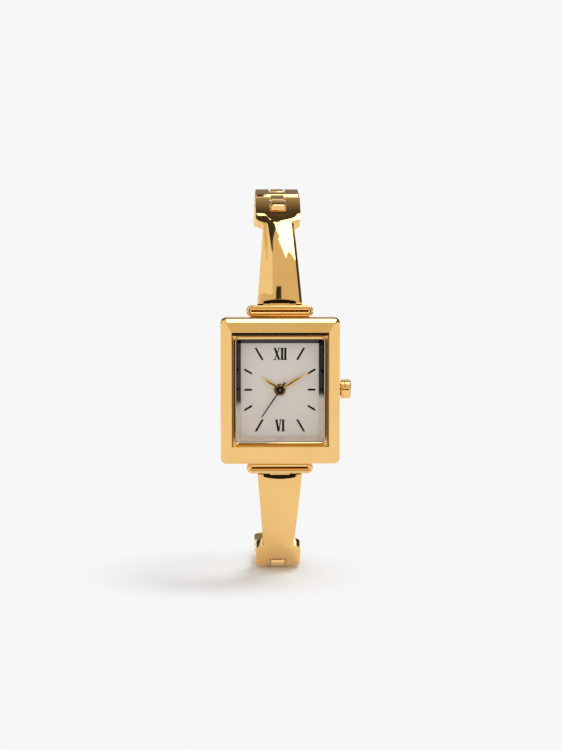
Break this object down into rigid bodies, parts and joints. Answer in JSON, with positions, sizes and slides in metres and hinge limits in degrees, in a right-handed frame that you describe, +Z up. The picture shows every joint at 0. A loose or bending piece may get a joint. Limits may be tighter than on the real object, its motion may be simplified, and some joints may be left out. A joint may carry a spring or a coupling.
{
  "type": "bracelet watch",
  "caption": "Rectangular gold-plated bangle watch with a framed case, light dial, hinged curved bars, wide links and a box clasp at the rear.",
  "frame": {"origin": "middle of the flat outer face of the second lower link, on which the watch stands", "axes": "+Z up towards 12 o'clock, +X towards the crown at 3 o'clock, -Y out of the dial, so the dial faces -Y"},
  "size_m": [0.0209, 0.0489, 0.0642],
  "materials": {
    "gold_plate": "polished",
    "mirror_steel": "mirror polished",
    "movement_steel": "fine brushed",
    "train_brass": "satin",
    "crystal_glass": "clear polished",
    "dial_pearl": "satin lacquer",
    "dial_print": "semi-gloss ink",
    "hand_gold": "polished",
    "hand_black": "gloss lacquer",
    "white_nylon": "moulded",
    "seal_rubber": "matte",
    "coil_copper": "enamelled wire",
    "board_green": "solder mask",
    "cell_steel": "satin",
    "rotor_magnet": "ground"
  },
  "bodies": {
    "case": {"case": "gold_plate", "upper_end_piece": "gold_plate", "lower_end_piece": "gold_plate", "hinge_pins": "movement_steel", "crystal": "crystal_glass", "crystal_gasket": "white_nylon", "rehaut_ring": "mirror_steel", "dial": "dial_pearl", "hour_markers": "dial_print", "dial_numerals": "dial_print", "case_back": "gold_plate", "case_back_gasket": "seal_rubber", "movement_ring": "white_nylon", "main_plate": "movement_steel", "stator": "movement_steel", "coil": "coil_copper", "button_cell": "cell_steel", "cell_strap": "movement_steel", "circuit_board": "board_green", "quartz_oscillator": "cell_steel", "train_bridge": "movement_steel", "bridge_screws": "movement_steel", "crown_tube": "gold_plate"},
    "setting_lever": {"setting_lever": "movement_steel"},
    "crown": {"crown": "gold_plate", "crown_seal": "seal_rubber", "winding_stem": "movement_steel"},
    "second_hand": {"second_wheel": "train_brass", "second_hand": "hand_black"},
    "rotor": {"rotor": "rotor_magnet"},
    "intermediate_wheel": {"intermediate_wheel": "train_brass"},
    "third_wheel": {"third_wheel": "train_brass"},
    "centre_wheel": {"centre_wheel": "train_brass"},
    "minute_hand": {"cannon_pinion": "movement_steel", "minute_hand": "hand_gold"},
    "minute_wheel": {"minute_wheel": "train_brass"},
    "hour_hand": {"hour_wheel": "train_brass", "hour_hand": "hand_gold"},
    "upper_bar": {"upper_bar": "gold_plate", "upper_bar_pin": "movement_steel"},
    "upper_first_link": {"upper_first_link": "gold_plate", "upper_first_link_pin": "movement_steel"},
    "upper_second_link": {"upper_second_link": "gold_plate", "upper_second_link_pin": "movement_steel"},
    "upper_rear_arm": {"upper_rear_arm": "gold_plate", "clasp_box": "gold_plate"},
    "lower_bar": {"lower_bar": "gold_plate", "lower_bar_pin": "movement_steel"},
    "lower_first_link": {"lower_first_link": "gold_plate", "lower_first_link_pin": "movement_steel"},
    "lower_second_link": {"lower_second_link": "gold_plate", "lower_second_link_pin": "movement_steel"},
    "lower_rear_arm": {"lower_rear_arm": "gold_plate", "clasp_blade": "gold_plate"},
    "clasp_spring": {"clasp_spring": "movement_steel"}
  },
  "joints": [
    {"name": "upper_bar_hinge", "type": "hinge", "parent": "case", "child": "upper_bar", "pos_m": [0, -0.02076, 0.04567], "axis": [1, 0, 0], "range_deg": [0, 35]},
    {"name": "upper_first_pin", "type": "hinge", "parent": "upper_bar", "child": "upper_first_link", "pos_m": [0, -0.00839, 0.0615], "axis": [1, 0, 0], "range_deg": [0, 30]},
    {"name": "upper_second_pin", "type": "hinge", "parent": "upper_first_link", "child": "upper_second_link", "pos_m": [0, -0.00296, 0.06286], "axis": [1, 0, 0], "range_deg": [0, 20]},
    {"name": "upper_arm_pin", "type": "hinge", "parent": "upper_second_link", "child": "upper_rear_arm", "pos_m": [0, 0.00258, 0.06208], "axis": [1, 0, 0], "range_deg": [0, 20]},
    {"name": "lower_bar_hinge", "type": "hinge", "parent": "case", "child": "lower_bar", "pos_m": [0, -0.02076, 0.01697], "axis": [-1, 0, 0], "range_deg": [0, 35]},
    {"name": "lower_first_pin", "type": "hinge", "parent": "lower_bar", "child": "lower_first_link", "pos_m": [0, -0.00839, 0.00114], "axis": [-1, 0, 0], "range_deg": [0, 30]},
    {"name": "lower_second_pin", "type": "hinge", "parent": "lower_first_link", "child": "lower_second_link", "pos_m": [0, -0.0028, 0.0009], "axis": [-1, 0, 0], "range_deg": [0, 20]},
    {"name": "lower_arm_pin", "type": "hinge", "parent": "lower_second_link", "child": "lower_rear_arm", "pos_m": [0, 0.0028, 0.0009], "axis": [-1, 0, 0], "range_deg": [0, 20]},
    {"name": "clasp_press", "type": "hinge", "parent": "lower_rear_arm", "child": "clasp_spring", "pos_m": [0, 0.0227, 0.03222], "axis": [-1, 0, 0], "range_deg": [0, 4], "stiffness_Nm_per_rad": 0.0001},
    {"name": "crown_pull", "type": "slide", "parent": "case", "child": "setting_lever", "axis": [1, 0, 0], "range_m": [0, 0.0006]},
    {"name": "crown_turn", "type": "hinge", "parent": "setting_lever", "child": "crown", "pos_m": [0.0105, -0.02101, 0.03132], "axis": [1, 0, 0], "continuous": true},
    {"name": "second_hand_turn", "type": "hinge", "parent": "case", "child": "second_hand", "pos_m": [0, -0.02063, 0.03132], "axis": [0, 1, 0], "continuous": true},
    {"name": "rotor_turn", "type": "hinge", "parent": "case", "child": "rotor", "pos_m": [0.0036, -0.02063, 0.03552], "axis": [0, 1, 0], "continuous": true},
    {"name": "intermediate_turn", "type": "hinge", "parent": "case", "child": "intermediate_wheel", "pos_m": [0.00235, -0.02063, 0.03322], "axis": [0, 1, 0], "continuous": true},
    {"name": "third_wheel_turn", "type": "hinge", "parent": "case", "child": "third_wheel", "pos_m": [-0.0026, -0.02063, 0.03312], "axis": [0, 1, 0], "continuous": true},
    {"name": "centre_wheel_turn", "type": "hinge", "parent": "case", "child": "centre_wheel", "pos_m": [0, -0.02063, 0.03132], "axis": [0, 1, 0], "continuous": true},
    {"name": "minute_hand_turn", "type": "hinge", "parent": "case", "child": "minute_hand", "pos_m": [0, -0.02063, 0.03132], "axis": [0, 1, 0], "continuous": true},
    {"name": "minute_wheel_turn", "type": "hinge", "parent": "case", "child": "minute_wheel", "pos_m": [0.0016, -0.02063, 0.03292], "axis": [0, 1, 0], "continuous": true},
    {"name": "hour_hand_turn", "type": "hinge", "parent": "case", "child": "hour_hand", "pos_m": [0, -0.02063, 0.03132], "axis": [0, 1, 0], "continuous": true}
  ],
  "couplings": [
    {"joint": "lower_bar_hinge", "follows": "upper_bar_hinge", "ratio": 1},
    {"joint": "lower_first_pin", "follows": "upper_first_pin", "ratio": 1},
    {"joint": "lower_second_pin", "follows": "upper_second_pin", "ratio": 1},
    {"joint": "lower_arm_pin", "follows": "upper_arm_pin", "ratio": 1},
    {"joint": "rotor_turn", "follows": "second_hand_turn", "ratio": 30},
    {"joint": "intermediate_turn", "follows": "second_hand_turn", "ratio": -5},
    {"joint": "third_wheel_turn", "follows": "second_hand_turn", "ratio": -0.13333},
    {"joint": "centre_wheel_turn", "follows": "second_hand_turn", "ratio": 0.016667},
    {"joint": "minute_wheel_turn", "follows": "minute_hand_turn", "ratio": -0.33333},
    {"joint": "hour_hand_turn", "follows": "minute_hand_turn", "ratio": 0.083333}
  ]
}
